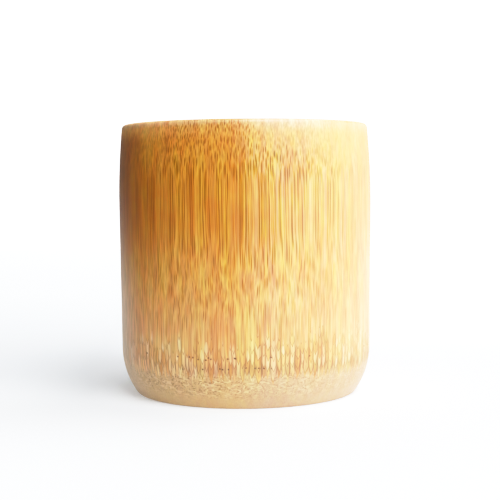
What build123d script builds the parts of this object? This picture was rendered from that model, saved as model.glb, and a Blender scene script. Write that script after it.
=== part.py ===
"""Bamboo cup turned from one length of culm, in millimetres.

The cup stands on the XY plane with its axis on +Z. The culm is cut just below a node, so that the woody diaphragm
of the node closes the bottom. Four members of the plant make the cup: the wall of the internode above the node,
the ring of the node, the diaphragm across it, and the stub of the internode below, which is the foot.
"""

import os

from build123d import *

# Outside of the cup. An inset is how far a radius lies inside the widest one.
CUP_HEIGHT = 84.5
BELLY_DIAMETER = 80.0
MOUTH_INSET = 1.2
MOUTH_TAPER_LENGTH = 26.0
SHOULDER_INSET = 0.4
SHOULDER_HEIGHT = 14.5
FOOT_INSET = 5.2
FOOT_EDGE_ROUND = 1.2

# Wall and lip. The wall is measured at the widest radius.
WALL_THICKNESS = 6.5
LIP_OUTER_ROUND = 1.3
LIP_INNER_ROUND = 1.5
LIP_ROUND_SHARE = 0.55

# Heights of the two members below the wall.
FOOT_RING_HEIGHT = 10.0
NODE_RING_HEIGHT = 10.0

# Floor. The diaphragm lies on a ledge in the foot ring, inside a rebate.
FLOOR_HEIGHT = 12.0
FLOOR_CORNER_ROUND = 3.5
DIAPHRAGM_THICKNESS = 5.0
DIAPHRAGM_DISH = 0.9
DIAPHRAGM_EDGE_GAP = 0.05
LEDGE_WIDTH = 3.0
RECESS_EDGE_ROUND = 1.0

# Radii and heights that follow from the sizes above.
belly_radius = BELLY_DIAMETER / 2
bore_radius = belly_radius - WALL_THICKNESS
mouth_radius = belly_radius - MOUTH_INSET
foot_radius = belly_radius - FOOT_INSET
rebate_radius = bore_radius - FLOOR_CORNER_ROUND
recess_radius = rebate_radius - LEDGE_WIDTH
ledge_height = FLOOR_HEIGHT - DIAPHRAGM_THICKNESS
wall_bottom = FOOT_RING_HEIGHT + NODE_RING_HEIGHT

# A rounding on the lip takes no more than its share of the lip's width.
widest_lip_round = LIP_ROUND_SHARE * (mouth_radius - bore_radius)
lip_outer_round = min(LIP_OUTER_ROUND, widest_lip_round)
lip_inner_round = min(LIP_INNER_ROUND, mouth_radius - bore_radius - lip_outer_round)


def round_corner(section, radius, height, rounding):
    """Rounds the corner of a section, drawn as radius and height, that lies at that point."""
    corner = section.vertices().sort_by_distance(Vector(radius, height))[0]
    fillet(corner, rounding)


def turned_culm():
    """The length of culm as it leaves the lathe, open at the floor, where the diaphragm goes."""
    foot_edge = (foot_radius, 0)
    shoulder = (belly_radius - SHOULDER_INSET, SHOULDER_HEIGHT)
    belly = (belly_radius, CUP_HEIGHT - MOUTH_TAPER_LENGTH)
    mouth = (mouth_radius, CUP_HEIGHT)
    bore_top = (bore_radius, CUP_HEIGHT)
    corner_top = (bore_radius, FLOOR_HEIGHT + FLOOR_CORNER_ROUND)
    corner_bottom = (rebate_radius, FLOOR_HEIGHT)
    up_the_side = Vector(*belly) - Vector(*shoulder)

    with BuildPart() as culm:
        with BuildSketch(Plane.XZ) as section:
            with BuildLine():
                TangentArc(shoulder, foot_edge, tangent=-up_the_side)
                Line(shoulder, belly)
                TangentArc(belly, mouth, tangent=up_the_side)
                Polyline(mouth, bore_top, corner_top)
                TangentArc(corner_top, corner_bottom, tangent=(0, -1))
                Polyline(
                    corner_bottom,
                    (rebate_radius, ledge_height),
                    (recess_radius, ledge_height),
                    (recess_radius, 0),
                    foot_edge,
                )
            make_face()
            round_corner(section, *mouth, lip_outer_round)
            round_corner(section, *bore_top, lip_inner_round)
            round_corner(section, *foot_edge, FOOT_EDGE_ROUND)
            round_corner(section, recess_radius, 0, RECESS_EDGE_ROUND)
        revolve(axis=Axis.Z)
    return culm.part


def grown_diaphragm():
    """The floor: a disc that lies on the ledge and is dished the same way on both faces."""
    edge_radius = rebate_radius - DIAPHRAGM_EDGE_GAP
    top_middle = (0, FLOOR_HEIGHT - DIAPHRAGM_DISH)
    under_middle = (0, ledge_height - DIAPHRAGM_DISH)
    outward = (1, 0)

    with BuildPart() as diaphragm:
        with BuildSketch(Plane.XZ):
            with BuildLine():
                TangentArc(top_middle, (edge_radius, FLOOR_HEIGHT), tangent=outward)
                Polyline((edge_radius, FLOOR_HEIGHT), (edge_radius, ledge_height), (recess_radius, ledge_height))
                TangentArc(under_middle, (recess_radius, ledge_height), tangent=outward)
                Line(under_middle, top_middle)
            make_face()
        revolve(axis=Axis.Z)
    return diaphragm.part


def members_of_the_cup():
    """The four members by name. The culm is parted square to its axis at the top and bottom of the node."""
    culm = turned_culm()
    node_top = Plane.XY.offset(wall_bottom)
    node_bottom = Plane.XY.offset(FOOT_RING_HEIGHT)
    below_wall = split(culm, bisect_by=node_top, keep=Keep.BOTTOM)
    return {
        "culm_wall": split(culm, bisect_by=node_top, keep=Keep.TOP),
        "node_ring": split(below_wall, bisect_by=node_bottom, keep=Keep.TOP),
        "node_diaphragm": grown_diaphragm(),
        "foot_ring": split(below_wall, bisect_by=node_bottom, keep=Keep.BOTTOM),
    }


os.makedirs("parts", exist_ok=True)
for name, member in members_of_the_cup().items():
    member.label = name
    export_step(member, f"parts/{name}.step")
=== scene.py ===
import math

import bpy
from mathutils import Euler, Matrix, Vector


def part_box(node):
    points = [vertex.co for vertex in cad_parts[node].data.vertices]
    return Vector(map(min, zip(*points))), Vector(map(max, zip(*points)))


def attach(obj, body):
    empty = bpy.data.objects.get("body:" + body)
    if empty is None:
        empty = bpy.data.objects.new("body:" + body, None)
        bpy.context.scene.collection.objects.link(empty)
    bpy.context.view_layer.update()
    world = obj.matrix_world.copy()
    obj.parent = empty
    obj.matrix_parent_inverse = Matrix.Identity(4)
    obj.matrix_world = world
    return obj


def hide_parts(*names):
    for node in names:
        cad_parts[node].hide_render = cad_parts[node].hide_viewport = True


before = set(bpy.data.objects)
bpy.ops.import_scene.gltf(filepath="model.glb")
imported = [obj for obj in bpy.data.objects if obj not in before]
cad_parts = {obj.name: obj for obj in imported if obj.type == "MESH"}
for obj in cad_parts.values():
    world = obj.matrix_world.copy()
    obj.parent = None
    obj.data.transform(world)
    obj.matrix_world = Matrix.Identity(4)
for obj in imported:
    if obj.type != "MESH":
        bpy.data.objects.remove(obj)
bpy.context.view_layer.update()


# Wall of the cup. It is the hollow internode of the culm above the node, bored and turned on a
# lathe, rounded over at the lip, sanded along the grain and sealed to a satin sheen. It grows out of
# the node ring, so the two meet flush.
wall_lowest, wall_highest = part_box("culm_wall")
node_lowest, node_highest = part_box("node_ring")
lip_height = wall_highest.z
belly_radius = min(wall_highest.x, wall_highest.y)
wall_thickness = 0.0065
bore_radius = belly_radius - wall_thickness
wall_middle_radius = (belly_radius + bore_radius) / 2
taper_length = 0.026
mouth_inset = 0.0012
lip_outer_round = 0.0013
lip_inner_round = 0.0015
grain_relief = 0.00003
wall_segments = 600
up, outward = Vector((0, 1)), Vector((1, 0))


def line(start, end, steps):
    """Points of a straight stretch of a section, drawn as radius and height."""
    return [start.lerp(end, step / steps) for step in range(steps + 1)]


def arc(start, heading, end, steps):
    """Points of the round stretch that leaves start along heading and ends at end."""
    along = heading.normalized()
    left = Vector((-along.y, along.x))
    chord = end - start
    radius = chord.length_squared / (2 * chord.dot(left))
    sweep = 2 * math.atan2(chord.dot(left), chord.dot(along))
    turns = [sweep * step / steps for step in range(steps + 1)]
    return [start + radius * (math.sin(turn) * along + (1 - math.cos(turn)) * left) for turn in turns]


def heading_at_end(start, heading, end):
    """The way that the round stretch from start to end points when it gets there."""
    along = heading.normalized()
    chord = end - start
    return 2 * chord.dot(along) / chord.length_squared * chord - along


def rounded(corner, heading_in, heading_out, radius, steps):
    """Points of the rounding of a corner between two straight headings."""
    reach = radius * math.tan(heading_in.angle(heading_out) / 2)
    start = corner - reach * heading_in.normalized()
    end = corner + reach * heading_out.normalized()
    return arc(start, heading_in, end, steps)


class Wiring:
    """Adds nodes to one tree.

    Inputs are numbers, vectors or other nodes' outputs, and each call gives an output.
    """

    def __init__(self, tree):
        self.tree = tree

    def add(self, kind, inputs, output=0, **settings):
        node = self.tree.nodes.new(kind)
        for name, value in settings.items():
            setattr(node, name, value)
        for key, value in inputs.items():
            if isinstance(value, bpy.types.NodeSocket):
                self.tree.links.new(value, node.inputs[key])
            else:
                node.inputs[key].default_value = value
        return node.outputs[output] if node.outputs else node

    def maths(self, operation, *values, clamp=False):
        return self.add("ShaderNodeMath", dict(enumerate(values)), operation=operation, use_clamp=clamp)

    def product(self, value, *factors):
        """The value times each of the factors."""
        for factor in factors:
            value = self.maths("MULTIPLY", value, factor)
        return value

    def left_over(self, share):
        """What a share leaves of 1."""
        return self.maths("SUBTRACT", 1.0, share)

    def picked(self, chance, least, most):
        """From least to most, by a chance between 0 and 1."""
        return self.maths("MULTIPLY_ADD", chance, most - least, least)

    def vectors(self, operation, *values, output=0):
        return self.add("ShaderNodeVectorMath", dict(enumerate(values)), output, operation=operation)

    def scaled(self, vector, factor):
        return self.add("ShaderNodeVectorMath", {0: vector, "Scale": factor}, operation="SCALE")

    def parts(self, vector):
        node = self.tree.nodes.new("ShaderNodeSeparateXYZ")
        self.tree.links.new(vector, node.inputs[0])
        return node.outputs

    def joined(self, x, y, z):
        return self.add("ShaderNodeCombineXYZ", {0: x, 1: y, 2: z})

    def grey(self, value):
        """The same value for red, green and blue."""
        return self.joined(value, value, value)

    def eased(self, value, low, high, low_gives=0.0, high_gives=1.0):
        """Goes smoothly from low_gives to high_gives while value goes from low to high."""
        inputs = {0: value, 1: low, 2: high, 3: low_gives, 4: high_gives}
        return self.add("ShaderNodeMapRange", inputs, interpolation_type="SMOOTHSTEP")

    def between(self, value, rise, fall, peak=1.0):
        """Goes smoothly from 0 up to peak over the rise and back to 0 over the fall."""
        return self.product(self.eased(value, *rise), self.eased(value, *fall, peak, 0.0))

    def noise(self, place, pitch, detail=1.0, distortion=0.0, output=0):
        """Soft noise. Its pitch is waves on a unit of length, as one number or along x, y and z."""
        if isinstance(pitch, float):
            place = self.scaled(place, pitch)
        else:
            place = self.vectors("MULTIPLY", place, pitch)
        inputs = {"Vector": place, "Scale": 1.0, "Detail": detail, "Distortion": distortion}
        return self.add("ShaderNodeTexNoise", inputs, output, noise_dimensions="3D")

    def swing(self, place, pitch, width):
        """Soft noise that swings to both sides of 0, over the width in all."""
        return self.product(self.maths("SUBTRACT", self.noise(place, pitch), 0.5), width)

    def cells(self, vector, scale):
        """Distance to the nearest of scattered points, and a colour that is that point's own."""
        inputs = {"Vector": vector, "Scale": scale}
        distance = self.add("ShaderNodeTexVoronoi", inputs, voronoi_dimensions="2D", feature="F1")
        return distance, distance.node.outputs["Color"]

    def blend(self, share, first, second):
        return self.add("ShaderNodeMix", {0: share, 2: first, 3: second}, data_type="FLOAT")

    def tint(self, share, first, second, way="MIX"):
        inputs = {0: share, 6: first, 7: second}
        return self.add("ShaderNodeMix", inputs, 2, data_type="RGBA", blend_type=way)

    def ramp(self, value, stops):
        """The colour at value, between (place, colour) stops."""
        colour = self.add("ShaderNodeValToRGB", {0: value})
        band = colour.node.color_ramp
        while len(band.elements) < len(stops):
            band.elements.new(1.0)
        for element, (place, tone) in zip(band.elements, stops):
            element.position = place
            element.color = (*tone, 1.0)
        return colour


# Fibre bundles. Lengths are in millimetres, pitches in waves on a millimetre, and the edges of a
# sheath and a core in shares of the spacing.
culm_height, culm_radius = lip_height * 1000.0, belly_radius * 1000.0
bundle_spacing, fine_spacing = 0.64, 0.38
sheath_edge, sheath_strength = (0.15, 0.45), (0.4, 1.0)
core_edge, core_strength = (0.12, 0.30), (0.25, 1.0)
fine_edge, fine_strength = (0.10, 0.42), (0.1, 0.6)
fine_shift = (31.0, 17.0, 0.0)
lip_lean_from, lip_lean_rate = 63.0, 0.0098
waist_low, waist_high = 17.0, 55.0
honey_waist_lean, straw_waist_lean = 2.7, 2.2
waist_turns_from, waist_turns_to = -12.0, 16.0
drift_pitch, drift_width = (0.16, 0.16, 0.028), 1.2
sway_pitch, sway_width, waist_sway = (0.09, 0.09, 0.045), 0.6, 2.2
sway_sets_in, sway_ends = (22.0, 34.0), (44.0, 56.0)


def fibre_bundles(wires, place):
    """The fibre bundles that run up the culm side by side, as a turned face cuts them.

    They are straight in the upper wall and lean outwards at the waist and towards the lip, so that the
    face cuts them as long streaks, as spindles or, on the lip, as dots. Gives how far a point lies in a
    bundle's dark sheath and in its core, the point in millimetres, and the point followed along its fibre.
    """
    millimetres = wires.scaled(place, 1000.0)
    x, y, height = wires.parts(millimetres)
    across = wires.joined(x, y, 0.0)
    radius = wires.vectors("LENGTH", across, output=1)
    above = wires.maths("MAXIMUM", wires.maths("SUBTRACT", height, lip_lean_from), 0.0)
    lip_lean = wires.product(wires.maths("POWER", above, 2.0), lip_lean_rate)
    waist_lean = wires.eased(x, waist_turns_from, waist_turns_to, honey_waist_lean, straw_waist_lean)
    at_waist = wires.eased(height, waist_low, waist_high, 1.0, 0.0)
    lean = wires.maths("MULTIPLY_ADD", waist_lean, at_waist, lip_lean)
    drift = wires.swing(millimetres, drift_pitch, drift_width)
    depth = wires.maths("ADD", wires.maths("ADD", radius, lean), drift)
    swaying = wires.between(height, sway_sets_in, sway_ends)
    sway = wires.swing(millimetres, sway_pitch, wires.picked(swaying, sway_width, waist_sway))
    sideways = wires.joined(wires.product(y, -1.0), x, 0.0)
    sideways = wires.scaled(sideways, wires.maths("DIVIDE", sway, radius))
    outwards = wires.scaled(across, wires.maths("DIVIDE", depth, radius))
    traced = wires.vectors("ADD", outwards, sideways)

    distance, own = wires.cells(traced, 1.0 / bundle_spacing)
    own = wires.parts(own)
    sheath = wires.eased(distance, *sheath_edge, 1.0, 0.0)
    sheath = wires.product(sheath, wires.picked(own[0], *sheath_strength))
    core = wires.eased(distance, *core_edge, 1.0, 0.0)
    core = wires.product(core, wires.picked(own[1], *core_strength))
    distance, own = wires.cells(wires.vectors("ADD", traced, fine_shift), 1.0 / fine_spacing)
    fine = wires.eased(distance, *fine_edge, 1.0, 0.0)
    fine = wires.product(fine, wires.picked(wires.parts(own)[0], *fine_strength))
    traced_x, traced_y, _ = wires.parts(traced)
    along_fibre = wires.joined(traced_x, traced_y, height)
    return wires.maths("MAXIMUM", sheath, fine), core, millimetres, along_fibre


# Bud scars, in millimetres and in radians from the front. Each row is a height, with how much rarer
# its scars are. A rarity goes from one angle beside the middle to another, and from one value to another.
scar_spacing, scar_start = 1.3, 23.0
scar_rows = {15.4: 0.0, 12.3: 0.35}
row_half_height = 0.55
scar_edge = (0.10, 0.28)
scars_middle = -0.15
side_rarity, back_rarity = (0.26, 0.48, 0.25, 0.9), (2.2, 2.4, 0.0, 0.2)


def angle_from_front(wires, x, y):
    """The angle round the culm in radians, 0 at the front and growing towards the right."""
    return wires.maths("ARCTAN2", x, wires.product(y, -1.0))


def bud_scars(wires, millimetres):
    """Small pits left by root buds, in two loose rows round the node, with most of them at the front.

    Gives 1 in the middle of a pit and 0 outside.
    """
    x, y, height = wires.parts(millimetres)
    angle = angle_from_front(wires, x, y)
    along = wires.maths("MULTIPLY_ADD", angle, culm_radius / scar_spacing, scar_start)
    upwards = wires.maths("DIVIDE", height, scar_spacing)
    distance, own = wires.cells(wires.joined(along, upwards, 0.0), 1.0)
    row = wires.product(wires.parts(distance.node.outputs["Position"])[1], scar_spacing)
    beside = wires.maths("ABSOLUTE", wires.maths("SUBTRACT", angle, scars_middle))
    rare = wires.maths("ADD", wires.eased(beside, *side_rarity), wires.eased(beside, *back_rarity))
    kept = 0.0
    for row_height, rarer in scar_rows.items():
        in_row = wires.maths("COMPARE", row, row_height, row_half_height)
        chance = wires.maths("SUBTRACT", wires.parts(own)[0], rarer)
        kept = wires.maths("MULTIPLY_ADD", in_row, wires.maths("GREATER_THAN", chance, rare), kept)
    return wires.product(wires.eased(distance, *scar_edge, 1.0, 0.0), kept)


# Felted strands, with their directions in degrees.
swirl_pitch, swirl_width = 0.13, 7.0
strand_directions = (0.0, 60.0, 120.0)
strand_pitch, strand_edge = (0.3, 1.7, 0.0), (0.48, 0.66)


def felted_strands(wires, millimetres):
    """Short strands that lie across each other in all directions, 1 on a strand and 0 between them."""
    swirl = wires.noise(millimetres, swirl_pitch, output=1)
    swirl = wires.scaled(wires.vectors("SUBTRACT", swirl, (0.5, 0.5, 0.5)), swirl_width)
    bent = wires.vectors("ADD", millimetres, swirl)
    strands = 0.0
    for direction in strand_directions:
        turned = wires.add("ShaderNodeVectorRotate", {"Vector": bent, "Angle": math.radians(direction)})
        laid = wires.noise(turned, strand_pitch)
        strands = wires.maths("MAXIMUM", strands, wires.eased(laid, *strand_edge))
    return strands


def lathe_tree():
    """The tree that turns a flat section about the upright axis and raises its grain.

    The section is drawn as radius and height.
    """
    tree = bpy.data.node_groups.new("turned_on_the_lathe", "GeometryNodeTree")
    wanted = [
        ("Section", "Geometry"),
        ("Segments", "Int"),
        ("Wall Middle", "Float"),
        ("Relief", "Float"),
        ("Pit Depth", "Float"),
        ("Felt Depth", "Float"),
        ("Finish", "Material"),
    ]
    for name, kind in wanted:
        tree.interface.new_socket(name, in_out="INPUT", socket_type=f"NodeSocket{kind}")
    tree.interface.new_socket("Piece", in_out="OUTPUT", socket_type="NodeSocketGeometry")
    wires = Wiring(tree)
    given = tree.nodes.new("NodeGroupInput").outputs
    weld, sharp_angle, path_radius = 1e-6, math.radians(35), 0.02

    drawn = wires.add("GeometryNodeMergeByDistance", {"Geometry": given["Section"], "Distance": weld})
    at = wires.add("GeometryNodeInputPosition", {})
    drawn_x, drawn_y, _ = wires.parts(at)
    beside_path = wires.maths("SUBTRACT", drawn_x, path_radius)
    beside_path = wires.joined(beside_path, wires.product(drawn_y, -1.0), 0.0)
    drawn = wires.add("GeometryNodeSetPosition", {"Geometry": drawn, "Position": beside_path})
    profile = wires.add("GeometryNodeMeshToCurve", {0: drawn})
    circle = {"Resolution": given["Segments"], "Radius": path_radius}
    path = wires.add("GeometryNodeCurvePrimitiveCircle", circle)
    turned = wires.add("GeometryNodeCurveToMesh", {"Curve": path, "Profile Curve": profile})
    turned = wires.add("GeometryNodeMergeByDistance", {"Geometry": turned, "Distance": weld})

    bundle, _, millimetres, _ = fibre_bundles(wires, at)
    level = wires.vectors("MULTIPLY", at, (1.0, 1.0, 0.0))
    from_axis = wires.vectors("LENGTH", level, output=1)
    outside = wires.maths("GREATER_THAN", from_axis, given["Wall Middle"])
    side = wires.picked(outside, 1.0, -1.0)
    sunk = wires.product(wires.left_over(bundle), given["Relief"])
    pits = wires.product(bud_scars(wires, millimetres), given["Pit Depth"])
    sunk = wires.maths("MULTIPLY_ADD", pits, outside, sunk)
    offset = wires.scaled(wires.vectors("NORMALIZE", level), wires.product(sunk, side))
    hollow = wires.maths("SUBTRACT", felted_strands(wires, millimetres), 1.0)
    hollow = wires.joined(0.0, 0.0, wires.product(hollow, given["Felt Depth"]))
    offset = wires.vectors("ADD", offset, hollow)
    turned = wires.add("GeometryNodeSetPosition", {"Geometry": turned, "Offset": offset})

    angle = wires.add("GeometryNodeInputMeshEdgeAngle", {})
    gentle = wires.maths("LESS_THAN", angle, sharp_angle)
    for domain, smooth in (("EDGE", gentle), ("FACE", True)):
        shading = {"Geometry": turned, "Shade Smooth": smooth}
        turned = wires.add("GeometryNodeSetShadeSmooth", shading, domain=domain)
    turned = wires.add("GeometryNodeRealizeInstances", {0: turned})
    turned = wires.add("GeometryNodeSetMaterial", {"Geometry": turned, "Material": given["Finish"]})
    tree.links.new(turned, tree.nodes.new("NodeGroupOutput").inputs[0])
    return tree


def made_by(tree, maker, **inputs):
    """Runs a tree on an object, with its inputs by name, and leaves the result as its plain mesh."""
    modifier = maker.modifiers.new(tree.name, "NODES")
    modifier.node_group = tree
    for socket in tree.interface.items_tree:
        name = socket.name.lower().replace(" ", "_")
        if socket.in_out == "INPUT" and name in inputs:
            modifier[socket.identifier] = inputs[name]
    evaluated = maker.evaluated_get(bpy.context.evaluated_depsgraph_get())
    plain = bpy.data.meshes.new_from_object(evaluated)
    maker.modifiers.clear()
    maker.data = plain


def drawn_section(name, points, closed=True):
    """An object that holds only the line of a section, drawn flat as radius and height."""
    mesh = bpy.data.meshes.new(name)
    edges = [(i, i + 1) for i in range(len(points) - 1)]
    if closed:
        edges.append((len(points) - 1, 0))
    mesh.from_pydata([(p.x, p.y, 0.0) for p in points], edges, [])
    maker = bpy.data.objects.new(name, mesh)
    bpy.context.scene.collection.objects.link(maker)
    return maker


# Zones of the culm. Round it, they are angles in radians from the front towards the right, and up it
# they are heights in millimetres. Each sets in over one stretch and ends over another. A fade goes from
# one place to another, and from one strength to another.
# The straw side is the right half, towards the window. Its figure differs from the honey side's, and its
# paler, yellower tone is partly painted light.
straw_and_lit_sets_in, straw_and_lit_ends = (-0.15, 0.21), (2.0, 3.0)
right_flank_sets_in, right_flank_ends, right_flank_depth = (0.4, 0.85), (1.6, 2.3), 0.72
left_flank_sets_in, left_flank_ends, left_flank_depth = (-2.0, -1.35), (-1.05, -0.45), 0.6
bore_surface, bore_sets_in = (34.0, 35.5), (13.0, 18.0)


class CulmSpot:
    """A point of the culm: where it lies, in which zones, and how far in a bundle's sheath and core."""

    def __init__(self, wires):
        place = wires.tree.nodes.new("ShaderNodeTexCoord").outputs["Object"]
        self.sheath, self.core, self.millimetres, self.along_fibre = fibre_bundles(wires, place)
        x, y, self.height = wires.parts(self.millimetres)
        self.up_the_culm = wires.maths("DIVIDE", self.height, culm_height)
        self.angle = angle_from_front(wires, x, y)
        self.straw_and_lit_side = wires.between(self.angle, straw_and_lit_sets_in, straw_and_lit_ends)
        radius = wires.vectors("LENGTH", wires.joined(x, y, 0.0), output=1)
        inside = wires.eased(radius, *bore_surface, 1.0, 0.0)
        self.in_bore = wires.product(inside, wires.eased(self.height, *bore_sets_in))
        right = wires.between(self.angle, right_flank_sets_in, right_flank_ends, right_flank_depth)
        left = wires.between(self.angle, left_flank_sets_in, left_flank_ends, left_flank_depth)
        self.right_flank = right
        self.off_flanks = wires.left_over(wires.maths("ADD", right, left))

    def by_side(self, wires, honey, straw):
        """One value on the honey side and another on the straw side."""
        return wires.blend(self.straw_and_lit_side, honey, straw)


# Tones of the soft tissue between the bundles and of the bundles' sheaths and cores.
honey_up_the_culm = [
    (0.00, (0.55, 0.335, 0.135)),
    (0.11, (0.57, 0.343, 0.135)),
    (0.20, (0.65, 0.365, 0.12)),
    (0.28, (0.63, 0.315, 0.093)),
    (0.45, (0.63, 0.295, 0.052)),
    (0.64, (0.62, 0.252, 0.021)),
    (0.80, (0.625, 0.256, 0.021)),
    (0.93, (0.68, 0.28, 0.028)),
    (1.00, (0.70, 0.35, 0.08)),
]
# The straw side's tones are paler and yellower than the honey side's, partly as painted light.
straw_and_lit_up_the_culm = [
    (0.00, (0.50, 0.32, 0.185)),
    (0.11, (0.52, 0.322, 0.178)),
    (0.20, (0.67, 0.38, 0.165)),
    (0.50, (0.685, 0.338, 0.118)),
    (0.80, (0.655, 0.33, 0.112)),
    (0.94, (0.68, 0.36, 0.125)),
    (1.00, (0.72, 0.44, 0.20)),
]
sheath_up_the_culm = [
    (0.00, (0.44, 0.23, 0.08)),
    (0.20, (0.50, 0.21, 0.04)),
    (0.45, (0.53, 0.19, 0.016)),
    (0.80, (0.52, 0.175, 0.008)),
    (1.00, (0.52, 0.19, 0.02)),
]
bore_straw = (0.70, 0.44, 0.19, 1.0)
# Cream of the lip: partly the paler cut end and partly a painted highlight along the rounding of the lip,
# stronger on the straw side.
lip_cream_and_highlight = (0.74, 0.50, 0.28, 1.0)
straw_sheath = (0.52, 0.225, 0.006, 1.0)
core_brown = (0.31, 0.105, 0.005, 1.0)
straw_core = (0.25, 0.115, 0.002, 1.0)
honey_lip_cream, straw_lip_cream_and_highlight = (82.2, 84.0, 0.0, 0.5), (80.5, 84.0, 0.0, 0.8)


def flesh_tone(wires, spot):
    """Tone of the soft tissue, which changes up the culm and from side to side, and pales at the lip."""
    honey = wires.ramp(spot.up_the_culm, honey_up_the_culm)
    straw = wires.ramp(spot.up_the_culm, straw_and_lit_up_the_culm)
    # The straw side is paler and yellower, partly painted light.
    flesh = wires.tint(spot.straw_and_lit_side, honey, straw)
    flesh = wires.tint(spot.in_bore, flesh, bore_straw)
    # The lip pales to cream, partly as a painted highlight, more on the straw side.
    honey_lip = wires.eased(spot.height, *honey_lip_cream)
    straw_lip = wires.eased(spot.height, *straw_lip_cream_and_highlight)
    return wires.tint(spot.by_side(wires, honey_lip, straw_lip), flesh, lip_cream_and_highlight)


honey_lip_fade, honey_low_fade = (82.0, 84.0, 1.0, 0.5), (22.0, 40.0, 0.8, 1.0)
straw_lip_fade, straw_low_fade = (70.0, 82.0, 1.0, 0.1), (28.0, 54.0, 0.6, 1.0)
middle_sets_in, middle_ends = (-0.8, -0.4), (0.15, 0.5)
middle_heights, middle_gain = (40.0, 52.0), 0.7
straight_sets_in, straight_ends = (44.0, 56.0), (68.0, 76.0)
honey_straight_gain, straw_straight_gain = 0.65, 1.15


def bundle_firmness(wires, spot):
    """How firmly the bundles show.

    They fade at the lip, low on the wall and along both flanks, and are firmer in the middle of the
    front and in the straight part of the wall.
    """
    honey = wires.eased(spot.height, *honey_lip_fade)
    honey = wires.product(honey, wires.eased(spot.height, *honey_low_fade))
    straw = wires.eased(spot.height, *straw_lip_fade)
    straw = wires.product(straw, wires.eased(spot.height, *straw_low_fade))
    middle = wires.between(spot.angle, middle_sets_in, middle_ends)
    middle = wires.product(middle, wires.eased(spot.height, *middle_heights))
    middle = wires.maths("MULTIPLY_ADD", middle, middle_gain, 1.0)
    straight = wires.between(spot.height, straight_sets_in, straight_ends)
    straight = wires.product(straight, spot.by_side(wires, honey_straight_gain, straw_straight_gain))
    straight = wires.maths("ADD", straight, 1.0)
    return wires.product(spot.by_side(wires, honey, straw), spot.off_flanks, middle, straight)


straw_core_gain = 1.1
low_core_fade, low_core_heights = 0.6, (20.0, 36.0)
left_core_sets_in, left_core_ends, left_core_depth = (-2.6, -1.8), (-0.9, -0.3), 0.5


def bundle_cores(wires, spot, firmness):
    """How dark the cores of the bundles show, fainter low on the straw side and towards the left edge."""
    core = wires.maths("MULTIPLY", spot.core, firmness, clamp=True)
    core = wires.maths("MULTIPLY", core, spot.by_side(wires, 1.0, straw_core_gain), clamp=True)
    low_straw = wires.product(spot.straw_and_lit_side, wires.eased(spot.height, *low_core_heights, 1.0, 0.0))
    left = wires.between(spot.angle, left_core_sets_in, left_core_ends, left_core_depth)
    return wires.product(core, wires.blend(low_straw, 1.0, low_core_fade), wires.left_over(left))


# Tongues of the node, in millimetres, and the gaps between them in shares of a tongue's width.
honey_tongue_width, straw_tongue_width, width_scatter = 1.22, 1.48, 0.7
honey_tongue_length, straw_tongue_length = 4.4, 3.0
bend_pitch, bend_width = (0.3, 0.3, 0.16), 1.0
tongue_rounding, end_taper = 4.0, 6.0
stack_shift, tone_shift = 7.0, 90.0
gap_middle, honey_gap, straw_gap = 0.04, 0.23, (0.12, 0.46)
honey_gap_depth, straw_gap_depth = 0.95, 0.8
tip_edge, honey_outline_depth = (0.02, 0.20), 0.85
feet_height, feet_scatter = (11.4, 12.1), 0.8
honey_reach, straw_reach, reach_scatter, reach_edge = 14.0, 16.5, 6.5, (-1.5, 0.5)
tongue_depth, flank_tongue_fade = 0.9, 0.4
tongue_tones = [
    (0.08, (0.57, 0.26, 0.06)),
    (0.28, (0.64, 0.33, 0.09)),
    (0.52, (0.69, 0.40, 0.145)),
    (0.85, (0.75, 0.50, 0.24)),
]
straw_tongue_cream = 0.12
honey_outline = (0.25, 0.10, 0.018, 1.0)
straw_outline = (0.24, 0.115, 0.025, 1.0)


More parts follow.
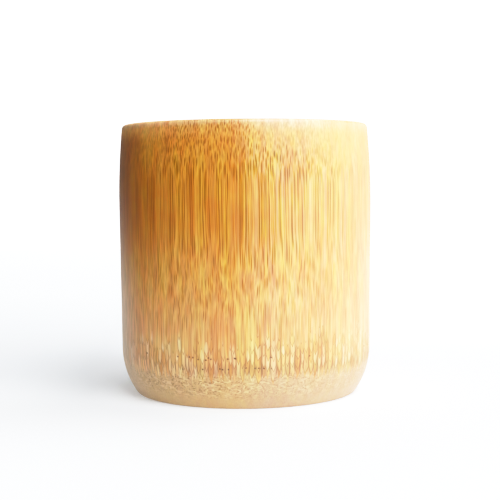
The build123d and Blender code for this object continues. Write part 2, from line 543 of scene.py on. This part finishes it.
def node_tongues(wires, spot):
    """Tongues of the node: bundles that cross over on their way into the partition.

    They stand side by side in columns of uneven width, and each column is a stack of tongues with
    rounded lower ends. Gives their colour, how far a point lies in them, and how far above their feet.
    """
    bend = wires.swing(spot.millimetres, bend_pitch, bend_width)
    rate = spot.by_side(wires, culm_radius / honey_tongue_width, culm_radius / straw_tongue_width)
    around = wires.maths("MULTIPLY_ADD", spot.angle, rate, bend)
    column = {"W": around, "Scale": 1.0, "Randomness": width_scatter}
    own = wires.add("ShaderNodeTexVoronoi", column, "Color", voronoi_dimensions="1D", feature="F1")
    border = wires.add("ShaderNodeTexVoronoi", column, voronoi_dimensions="1D", feature="DISTANCE_TO_EDGE")
    own = wires.parts(own)
    length = spot.by_side(wires, honey_tongue_length, straw_tongue_length)
    stack = wires.maths("MULTIPLY_ADD", border, tongue_rounding, spot.height)
    stack = wires.maths("DIVIDE", stack, length)
    stack = wires.maths("MULTIPLY_ADD", own[2], stack_shift, stack)
    one_tongue = wires.joined(wires.product(own[0], tone_shift), wires.maths("FLOOR", stack), 0.0)
    tone = wires.add("ShaderNodeTexWhiteNoise", {"Vector": one_tongue}, noise_dimensions="2D")
    tongues = wires.ramp(tone, tongue_tones)
    # On the straw side the tongues pale a little towards the cream, part of its painted lit tone.
    tongues = wires.tint(wires.product(spot.straw_and_lit_side, straw_tongue_cream), tongues, lip_cream_and_highlight)

    gap = spot.by_side(wires, honey_gap, wires.picked(own[0], *straw_gap))
    outline = wires.eased(border, gap_middle, gap, 1.0, 0.0)
    outline = wires.product(outline, spot.by_side(wires, honey_gap_depth, straw_gap_depth))
    tip = wires.eased(wires.maths("FRACT", stack), *tip_edge, 1.0, 0.0)
    outline = wires.maths("MAXIMUM", outline, tip)
    outline = wires.product(outline, spot.by_side(wires, honey_outline_depth, 1.0))
    tongues = wires.tint(outline, tongues, wires.tint(spot.straw_and_lit_side, honey_outline, straw_outline))

    feet = wires.maths("MULTIPLY_ADD", border, end_taper, spot.height)
    feet = wires.maths("ADD", feet, wires.picked(own[2], -feet_scatter, feet_scatter))
    above_feet = wires.eased(feet, *feet_height)
    reach = spot.by_side(wires, honey_reach, straw_reach)
    reach = wires.maths("MULTIPLY_ADD", own[1], reach_scatter, reach)
    top = wires.maths("MULTIPLY_ADD", border, -end_taper, spot.height)
    below_tops = wires.eased(wires.maths("SUBTRACT", top, reach), *reach_edge, 1.0, 0.0)
    in_node = wires.product(above_feet, below_tops, tongue_depth, wires.left_over(spot.in_bore))
    off_right = wires.maths("MULTIPLY_ADD", spot.right_flank, -flank_tongue_fade, 1.0)
    return tongues, wires.product(in_node, off_right), above_feet


foot_top = (9.0, 13.0)
wave_pitch, wave_curl = (0.46, 0.46, 1.05), 1.6
pale_end_edge = (0.54, 0.63, 0.0, 0.62)
hook_level, hook_edge = 0.46, (0.02, 0.07)
break_pitch, break_edge = (1.5, 1.5, 1.2), (0.44, 0.56)
foot_fade, straw_foot_fade, flank_power = (2.0, 6.0, 0.05, 0.8), 0.65, 0.5


def foot_squiggles(wires, spot, above_feet):
    """Cut ends of fibres that turn outwards below the node, as short wavy lines broken into dots.

    Gives how far a point lies in the foot, in a pale end and in a dark hook.
    """
    in_foot = wires.product(wires.eased(spot.height, *foot_top, 1.0, 0.0), wires.left_over(above_feet))
    waves = wires.noise(spot.millimetres, wave_pitch, distortion=wave_curl)
    pale_ends = wires.eased(waves, *pale_end_edge)
    hooks = wires.maths("ABSOLUTE", wires.maths("SUBTRACT", waves, hook_level))
    hooks = wires.eased(hooks, *hook_edge, 1.0, 0.0)
    breaks = wires.noise(spot.millimetres, break_pitch)
    hooks = wires.product(hooks, wires.eased(breaks, *break_edge))
    fade = wires.eased(spot.height, *foot_fade)
    fade = wires.product(fade, wires.maths("POWER", spot.off_flanks, flank_power))
    fade = wires.product(fade, spot.by_side(wires, 1.0, straw_foot_fade))
    return in_foot, wires.product(pale_ends, in_foot, fade), wires.product(hooks, in_foot, fade)


# Slow changes of tone. Noise hardly leaves its usual range, over which a shade or a warmth goes from
# its least to its most.
usual_noise = (0.3, 0.7)
hair_pitch, hair_shade = (2.3, 2.3, 0.06), (0.76, 1.18)
stripe_pitch, stripe_shade, stripe_warmth = (0.42, 0.42, 0.02), (0.94, 1.05), (0.89, 1.08)
mottle_pitch, mottle_warmth = (0.3, 0.3, 0.17), (0.91, 1.08)
yellow_pitch, yellow_noise, yellow_share = (0.7, 0.7, 0.035), (0.32, 0.68), (0.80, 1.19)
# Painted shade and light on the left, away from the window: the upper left is darker and redder, the wall
# below it lighter where the paper would light it, and the left of the lip a little lighter.
upper_rise, upper_fall = (24.0, 62.0), (77.0, 83.0, 1.0, 0.15)
left_sets_in = (-2.6, -1.5)
left_painted_light, left_painted_shade = (-1.1, -0.4, 1.2, 1.0), (-1.35, -0.65, 0.58, 1.0)
left_shade_warmth = (-1.25, -0.2, 0.75, 1.0)
left_lip_ends, left_lip_gain = (-0.6, -0.3), (79.0, 82.5, 0.0, 0.14)
# Painted shade at the feet of the node's tongues, under the bulge of the node.
tip_shade_sets_in, tip_shade_ends, tip_shade = (8.5, 11.0), (12.5, 15.0), 0.13
front_tips_set_in = (-0.65, -0.3)
foot_calm, node_calm = 0.75, 0.7
low_wall_calm, lip_calm = (24.0, 44.0, 0.6, 0.0), (77.0, 82.0, 0.0, 0.8)


def slow_shades(wires, spot, hairs, in_node, in_foot):
    """Stripes and mottling, with painted shade and painted light on the left and under the node, as
    factors for red, green and blue.
    """
    stripes = wires.noise(spot.along_fibre, stripe_pitch)
    shade = wires.eased(hairs, *usual_noise, *hair_shade)
    shade = wires.product(shade, wires.eased(stripes, *usual_noise, *stripe_shade))
    # Painted shade on the upper left and painted light lower down on the left.
    upper = wires.product(wires.eased(spot.height, *upper_rise), wires.eased(spot.height, *upper_fall))
    on_left = wires.eased(spot.angle, *left_sets_in)
    light, dark = wires.eased(spot.angle, *left_painted_light), wires.eased(spot.angle, *left_painted_shade)
    shade = wires.product(shade, wires.blend(on_left, 1.0, wires.blend(upper, light, dark)))
    # Painted light at the left of the lip.
    left_lip_light = wires.product(on_left, wires.eased(spot.angle, *left_lip_ends, 1.0, 0.0))
    left_lip_light = wires.product(left_lip_light, wires.eased(spot.height, *left_lip_gain))
    shade = wires.product(shade, wires.maths("ADD", left_lip_light, 1.0))
    # Painted shade under the bulge of the node.
    front_tips = wires.between(spot.angle, front_tips_set_in, straw_and_lit_ends, tip_shade)
    tips = wires.product(wires.between(spot.height, tip_shade_sets_in, tip_shade_ends), front_tips)
    shade = wires.product(shade, wires.left_over(tips))

    # The painted shade on the upper left also takes out some green and blue.
    warmth = wires.blend(wires.product(upper, on_left), 1.0, wires.eased(spot.angle, *left_shade_warmth))
    warmth = wires.product(wires.eased(stripes, *usual_noise, *stripe_warmth), warmth)
    mottle = wires.noise(spot.millimetres, mottle_pitch, detail=2.0)
    warmth = wires.product(warmth, wires.eased(mottle, *usual_noise, *mottle_warmth))
    calm = wires.product(in_foot, foot_calm)
    shade = wires.blend(calm, shade, 1.0)
    warmth = wires.blend(calm, warmth, 1.0)

    yellow = wires.noise(spot.along_fibre, yellow_pitch)
    yellow = wires.eased(yellow, *yellow_noise, *yellow_share)
    even = wires.maths("MAXIMUM", calm, wires.product(in_node, node_calm))
    for fade in (low_wall_calm, lip_calm):
        even = wires.maths("MAXIMUM", even, wires.eased(spot.height, *fade))
    yellow = wires.blend(even, yellow, 1.0)
    green = wires.product(shade, warmth)
    return wires.joined(shade, green, wires.product(green, yellow))


node_core_fade = 0.6
scar_brown = (0.14, 0.06, 0.015, 1.0)
hook_brown = (0.24, 0.12, 0.035, 1.0)
cut_end_cream = (0.78, 0.57, 0.31, 1.0)
# Painted reflection and light of the white paper on the lower left flank: paler and greyer there, keeping
# some of the grain.
paper_reflection_tan = (0.60, 0.405, 0.24, 1.0)
paper_reflection_sets_in, paper_reflection_ends, paper_reflection_depth = (-2.4, -1.45), (-1.3, -0.8), 0.66
paper_reflection_heights = (24.0, 50.0)
paper_reflection_level, paper_reflection_sheath, paper_reflection_hairs = 1.06, 0.5, (0.8, 1.18)
straw_gold = (0.66, 0.34, 0.09, 1.0)
right_lip_gold = (66.0, 78.0, 0.0, 0.75)
hair_height = 0.4
grain_roughness = (0.0, 1.2, 0.46, 0.34)


def culm_figure(wires):
    """Colour, height of the grain and roughness of the sealed culm.

    It is the same for every piece that is cut from the culm, so it runs on from piece to piece.
    """
    spot = CulmSpot(wires)
    flesh = flesh_tone(wires, spot)
    firmness = bundle_firmness(wires, spot)
    sheath = wires.maths("MULTIPLY", spot.sheath, firmness, clamp=True)
    honey_sheath = wires.ramp(spot.up_the_culm, sheath_up_the_culm)
    colour = wires.tint(sheath, flesh, wires.tint(spot.straw_and_lit_side, honey_sheath, straw_sheath))
    tongues, in_node, above_feet = node_tongues(wires, spot)
    colour = wires.tint(in_node, colour, tongues)
    core = bundle_cores(wires, spot, firmness)
    core = wires.product(core, wires.maths("MULTIPLY_ADD", in_node, -node_core_fade, 1.0))
    colour = wires.tint(core, colour, wires.tint(spot.straw_and_lit_side, core_brown, straw_core))
    colour = wires.tint(bud_scars(wires, spot.millimetres), colour, scar_brown)
    in_foot, pale_ends, hooks = foot_squiggles(wires, spot, above_feet)
    colour = wires.tint(in_foot, colour, flesh)
    colour = wires.tint(pale_ends, colour, cut_end_cream)
    colour = wires.tint(hooks, colour, hook_brown)

    hairs = wires.noise(spot.along_fibre, hair_pitch, detail=2.0)
    shades = slow_shades(wires, spot, hairs, in_node, in_foot)
    colour = wires.tint(1.0, colour, shades, way="MULTIPLY")
    # Painted reflection of the paper on the lower left flank.
    paper_reflection = wires.between(spot.angle, paper_reflection_sets_in, paper_reflection_ends, paper_reflection_depth)
    paper_reflection = wires.product(paper_reflection, wires.eased(spot.height, *paper_reflection_heights, 1.0, 0.0))
    paper_reflection_grain = wires.maths("MULTIPLY_ADD", sheath, -paper_reflection_sheath, paper_reflection_level)
    paper_reflection_grain = wires.product(paper_reflection_grain, wires.eased(hairs, *usual_noise, *paper_reflection_hairs))
    paper_reflection_tone = wires.tint(1.0, paper_reflection_tan, wires.grey(paper_reflection_grain), way="MULTIPLY")
    colour = wires.tint(paper_reflection, colour, paper_reflection_tone)
    right_lip = wires.product(spot.right_flank, wires.eased(spot.height, *right_lip_gold))
    colour = wires.tint(right_lip, colour, straw_gold)

    grain = wires.maths("MULTIPLY_ADD", hairs, hair_height, sheath)
    grain = wires.maths("ADD", grain, wires.maths("SUBTRACT", pale_ends, hooks))
    return colour, grain, wires.eased(grain, *grain_roughness)


satin_specular = 0.55
bump_strength, bump_depth = 0.25, 0.00005


def sealed_bamboo(name, figure=culm_figure):
    """The satin finish of the culm."""
    material = bpy.data.materials.new(name)
    material.use_nodes = True
    wires = Wiring(material.node_tree)
    colour, grain, roughness = figure(wires)
    shader = material.node_tree.nodes["Principled BSDF"]
    shader.inputs["Specular IOR Level"].default_value = satin_specular
    raised = {"Strength": bump_strength, "Distance": bump_depth, "Height": grain}
    bump = wires.add("ShaderNodeBump", raised)
    for socket, source in (("Base Color", colour), ("Roughness", roughness), ("Normal", bump)):
        wires.tree.links.new(source, shader.inputs[socket])
    return material


bore_foot = Vector((bore_radius, wall_lowest.z))
wall_foot = Vector((node_highest.x, wall_lowest.z))
bore_top = Vector((bore_radius, lip_height))
mouth = Vector((belly_radius - mouth_inset, lip_height))
belly = Vector((belly_radius, lip_height - taper_length))
up_the_side = belly - wall_foot
down_from_mouth = -heading_at_end(belly, up_the_side, mouth)
inner_lip = rounded(bore_top, up, outward, lip_inner_round, steps=10)
outer_lip = rounded(mouth, outward, down_from_mouth, lip_outer_round, steps=14)
wall_section = [
    *line(bore_foot, inner_lip[0], steps=30),
    *inner_lip,
    *outer_lip,
    *reversed(arc(belly, up_the_side, outer_lip[-1], steps=36)),
    *line(belly, wall_foot, steps=60),
    *line(wall_foot, bore_foot, steps=4),
]
lathe = lathe_tree()
wall = drawn_section("bamboo_wall", wall_section)
made_by(
    lathe,
    wall,
    segments=wall_segments,
    wall_middle=wall_middle_radius,
    relief=grain_relief,
    finish=sealed_bamboo("sealed_wall"),
)
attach(wall, "root")
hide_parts("culm_wall")


# Node ring. It is the joint of the culm, where the fibres of the wall cross into the partition and the
# next internode. It is turned in one with the wall and carries the rounded inner corner of the cup.
foot_lowest, foot_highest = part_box("foot_ring")
floor_lowest, floor_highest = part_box("node_diaphragm")
shoulder_inset = 0.0004
shoulder_height = 0.0145
floor_corner_round = 0.0035
node_segments = 1200
scar_depth = 0.00018
shoulder = Vector((belly_radius - shoulder_inset, shoulder_height))
down_the_side = shoulder - wall_foot
node_bottom = Vector((foot_highest.x, foot_highest.z))
rebate_radius = bore_radius - floor_corner_round
corner_top = Vector((bore_radius, floor_highest.z + floor_corner_round))
corner_bottom = Vector((rebate_radius, floor_highest.z))
rebate_top = Vector((rebate_radius, node_lowest.z))
node_section = [
    *line(rebate_top, corner_bottom, steps=3),
    *arc(corner_bottom, outward, corner_top, steps=12),
    *line(corner_top, bore_foot, steps=4),
    *line(bore_foot, wall_foot, steps=4),
    *line(wall_foot, shoulder, steps=28),
    *arc(shoulder, down_the_side, node_bottom, steps=24),
    *line(node_bottom, rebate_top, steps=4),
]
node_ring = drawn_section("bamboo_node", node_section)
made_by(
    lathe,
    node_ring,
    segments=node_segments,
    wall_middle=wall_middle_radius,
    relief=grain_relief,
    pit_depth=scar_depth,
    finish=sealed_bamboo("sealed_node"),
)
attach(node_ring, "root")
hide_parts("node_ring")


# Floor of the cup. It is the woody partition that grew across the culm at the node, scraped level and
# sealed. Its edge runs into the node ring, on the ledge of the foot.
floor_dish = 0.0009
ledge_width = 0.003
floor_segments = 600
outside_every_wall = 1.0
ledge_height = floor_lowest.z + floor_dish
recess_radius = rebate_radius - ledge_width
floor_edge = Vector((rebate_radius, floor_highest.z))
floor_rim = Vector((rebate_radius, ledge_height))
ledge_edge = Vector((recess_radius, ledge_height))
floor_middle = Vector((0.0, floor_highest.z - floor_dish))
under_middle = Vector((0.0, floor_lowest.z))
under_arc = arc(under_middle, outward, ledge_edge, steps=40)
felt_depth = 0.00012
felt_ground = (0.40, 0.215, 0.075)
felt_strand = (0.70, 0.47, 0.22)
fuzz_pitch, fuzz_share, fuzz_height = 2.2, (0.2, 0.7, 0.55, 1.0), 0.3
cloud_pitch, cloud_shade = 0.09, (0.86, 1.10)
felt_roughness = (0.0, 1.0, 0.62, 0.44)


def felted_figure(wires):
    """Colour, height of the grain and roughness of the scraped partition, paler on its strands."""
    place = wires.tree.nodes.new("ShaderNodeTexCoord").outputs["Object"]
    millimetres = wires.scaled(place, 1000.0)
    strands = felted_strands(wires, millimetres)
    fuzz = wires.noise(millimetres, fuzz_pitch, detail=2.0)
    cloud = wires.noise(millimetres, cloud_pitch)
    share = wires.product(strands, wires.eased(fuzz, *fuzz_share))
    colour = wires.ramp(share, [(0.0, felt_ground), (1.0, felt_strand)])
    tone = wires.eased(cloud, *usual_noise, *cloud_shade)
    colour = wires.tint(1.0, colour, wires.grey(tone), way="MULTIPLY")
    grain = wires.maths("MULTIPLY_ADD", fuzz, fuzz_height, strands)
    return colour, grain, wires.eased(share, *felt_roughness)


floor_section = [
    *arc(floor_middle, outward, floor_edge, steps=60),
    *line(floor_edge, floor_rim, steps=4),
    *line(floor_rim, ledge_edge, steps=3),
    *reversed(under_arc),
]
cup_floor = drawn_section("bamboo_floor", floor_section, closed=False)
made_by(
    lathe,
    cup_floor,
    segments=floor_segments,
    wall_middle=outside_every_wall,
    relief=0.0,
    felt_depth=felt_depth,
    finish=sealed_bamboo("sealed_floor", felted_figure),
)
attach(cup_floor, "root")
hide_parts("node_diaphragm")


# Foot ring. It is the stub of the next internode below the node, rounded over to a narrow foot and
# hollowed under the floor. The cup stands on its flat edge.
foot_inset = 0.0052
foot_edge_round = 0.0012
recess_edge_round = 0.001
foot_segments = 800
inward = -outward
foot_edge = Vector((belly_radius - foot_inset, foot_lowest.z))
side_at_foot = heading_at_end(shoulder, down_the_side, foot_edge)
down_at_node = heading_at_end(shoulder, down_the_side, node_bottom)
recess_edge = Vector((recess_radius, foot_lowest.z))
foot_round = rounded(foot_edge, side_at_foot, inward, foot_edge_round, steps=10)
recess_round = rounded(recess_edge, inward, up, recess_edge_round, steps=8)
foot_section = [
    *line(rebate_top, node_bottom, steps=4),
    *arc(node_bottom, down_at_node, foot_round[0], steps=50),
    *foot_round,
    *line(foot_round[-1], recess_round[0], steps=12),
    *recess_round,
    *line(recess_round[-1], ledge_edge, steps=12),
    *line(ledge_edge, floor_rim, steps=2),
    *line(floor_rim, rebate_top, steps=3),
]
foot = drawn_section("bamboo_foot", foot_section)
made_by(
    lathe,
    foot,
    segments=foot_segments,
    wall_middle=(rebate_radius + recess_radius) / 2,
    relief=grain_relief,
    finish=sealed_bamboo("sealed_foot"),
)
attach(foot, "root")
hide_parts("foot_ring")


# Studio floor: a sheet of white paper that the cup stands on. It glows by its own emission, which is
# painted light: brighter towards its far end and the front, with a painted shadow to the left behind the
# cup and painted light round the foot that lifts its contact shadow. It is not part of the cup.
paper_left, paper_right = -0.16, 0.6
paper_front, paper_back = -0.2, 0.8
paper_left_end = 0.05
paper_tone, paper_light = (0.60, 0.635, 0.67, 1.0), (0.97, 0.99, 1.0, 1.0)
paper_roughness = 0.8
far_glow_from_front, far_glow_from_left, far_glow_strength = (0.04, 0.35), (-0.45, -0.22), 1.2
near_glow = (-0.14, -0.03, 0.42, 0.26)
paper_shadow_on_left, paper_shadow_from_front, paper_shadow_depth = (-0.06, -0.035, 1.0, 0.0), (-0.02, 0.04), 0.8
foot_glow = (0.034, 0.052, 0.14, 0.0)
paper_mesh = bpy.data.meshes.new("white_paper")
paper_corners = [
    (paper_left, paper_front, 0.0),
    (paper_right, paper_front, 0.0),
    (paper_back, paper_back, 0.0),
    (-paper_back, paper_back, 0.0),
    (paper_left, paper_left_end, 0.0),
]
paper_mesh.from_pydata(paper_corners, [], [list(range(len(paper_corners)))])
paper = bpy.data.objects.new("white_paper", paper_mesh)
bpy.context.scene.collection.objects.link(paper)
paper_white = bpy.data.materials.new("matt_white")
paper_white.use_nodes = True
paper_shader = paper_white.node_tree.nodes["Principled BSDF"]
paper_shader.inputs["Base Color"].default_value = paper_tone
paper_shader.inputs["Roughness"].default_value = paper_roughness
paper_shader.inputs["Emission Color"].default_value = paper_light
paper_wires = Wiring(paper_white.node_tree)
paper_place = paper_wires.tree.nodes.new("ShaderNodeTexCoord").outputs["Object"]
paper_x, paper_y, _ = paper_wires.parts(paper_place)
far_glow = paper_wires.eased(paper_y, *far_glow_from_front)
far_glow = paper_wires.product(far_glow, paper_wires.eased(paper_x, *far_glow_from_left))
# Painted shadow to the left behind the cup.
paper_shadow = paper_wires.eased(paper_x, *paper_shadow_on_left)
paper_shadow = paper_wires.product(paper_shadow, paper_wires.eased(paper_y, *paper_shadow_from_front))
glow = paper_wires.eased(paper_y, *near_glow)
glow = paper_wires.maths("MULTIPLY_ADD", far_glow, far_glow_strength, glow)
glow = paper_wires.product(glow, paper_wires.maths("MULTIPLY_ADD", paper_shadow, -paper_shadow_depth, 1.0))
# Painted light round the foot, which lightens the contact shadow there.
from_axis = paper_wires.vectors("LENGTH", paper_place, output=1)
glow = paper_wires.maths("ADD", glow, paper_wires.eased(from_axis, *foot_glow))
paper_wires.tree.links.new(glow, paper_shader.inputs["Emission Strength"])
paper_mesh.materials.append(paper_white)


# Studio light: a soft key above the camera, a softer light overhead, a wide low window on the right and
# a white screen behind. The room is dim, and the ground behind the cup is white.
def aimed(name, lamp, azimuth, elevation, distance=1.0):
    """Hangs a lamp that looks at the cup, at an azimuth counted from the front towards the right."""
    source = bpy.data.objects.new(name, lamp)
    turn, rise = math.radians(azimuth), math.radians(elevation)
    level = math.cos(rise)
    towards = Vector((math.sin(turn) * level, -math.cos(turn) * level, math.sin(rise)))
    source.location = towards * distance
    source.rotation_euler = towards.to_track_quat("Z", "Y").to_euler()
    source.visible_camera = False
    bpy.context.scene.collection.objects.link(source)


def soft_sun(name, azimuth, elevation, spread, strength):
    """A far soft source, as wide as the spread."""
    lamp = bpy.data.lights.new(name, "SUN")
    lamp.angle = math.radians(spread)
    lamp.energy = strength
    aimed(name, lamp, azimuth, elevation)


def soft_panel(name, azimuth, elevation, distance, width, height, radiance):
    """A flat soft box that shines evenly."""
    lamp = bpy.data.lights.new(name, "AREA")
    lamp.shape = "RECTANGLE"
    lamp.size = width
    lamp.size_y = height
    lamp.energy = radiance * math.pi * width * height
    aimed(name, lamp, azimuth, elevation, distance)


soft_sun("key", azimuth=30.0, elevation=50.0, spread=45.0, strength=4.6)
soft_sun("skylight", azimuth=115.0, elevation=62.0, spread=34.0, strength=1.8)
soft_panel("window", azimuth=78.0, elevation=14.0, distance=0.7, width=1.8, height=0.6, radiance=3.3)
soft_panel("backdrop", azimuth=168.0, elevation=20.0, distance=0.9, width=1.1, height=0.9, radiance=1.5)
room = bpy.data.worlds.new("studio")
room.use_nodes = True
bpy.context.scene.world = room
room_wires = Wiring(room.node_tree)
dim_light = {"Color": (0.9, 0.95, 1.0, 1.0), "Strength": 0.02}
white_light = {"Color": (1.0, 1.0, 1.0, 1.0), "Strength": 2.2}
dim_room = room_wires.add("ShaderNodeBackground", dim_light)
white_ground = room_wires.add("ShaderNodeBackground", white_light)
seen = room_wires.add("ShaderNodeLightPath", {})
ground = room_wires.add("ShaderNodeMixShader", {0: seen, 1: dim_room, 2: white_ground})
room.node_tree.links.new(ground, room.node_tree.nodes["World Output"].inputs["Surface"])


# Picture: a plain view of the light with soft whites. Shares of the brightest light are given with how
# bright each is shown.
brightest_light = 1.8
shown_light = {0.1: 0.18, 0.2: 0.36, 0.3: 0.54, 0.4: 0.70, 0.6: 0.87, 0.8: 0.955}
view = bpy.context.scene.view_settings
view.view_transform = "Standard"
view.use_curve_mapping = True
view.curve_mapping.white_level = (brightest_light, brightest_light, brightest_light)
soft_whites = view.curve_mapping.curves[3]
for light, shown in shown_light.items():
    soft_whites.points.new(light, shown)
view.curve_mapping.update()


# Bloom of the lens: the white ground spreads a little over the edges of the cup.
bpy.context.scene.use_nodes = True
picture = bpy.context.scene.node_tree
for node in list(picture.nodes):
    picture.nodes.remove(node)
picture_wires = Wiring(picture)
taken = picture_wires.add("CompositorNodeRLayers", {})
bloom = {"Image": taken, "Threshold": 1.0, "Strength": 0.08, "Size": 0.1}
bloomed = picture_wires.add("CompositorNodeGlare", bloom, glare_type="BLOOM")
picture_wires.add("CompositorNodeComposite", {"Image": bloomed})


# Camera: a short telephoto view, a little above the middle of the cup and a little below its lip.
camera_distance = 0.3646
camera_height = 0.0657
camera_pitch = 3.31
camera_yaw = 0.26
camera_roll = 0.44
lens = bpy.data.cameras.new("camera")
lens.sensor_width = 36.0
lens.lens = 81.99
camera = bpy.data.objects.new("camera", lens)
camera.location = (0.0, -camera_distance, camera_height)
camera_turn = [math.radians(turn) for turn in (90.0 - camera_pitch, camera_roll, -camera_yaw)]
camera.rotation_euler = Euler(camera_turn, "XYZ")
bpy.context.scene.collection.objects.link(camera)
bpy.context.scene.camera = camera
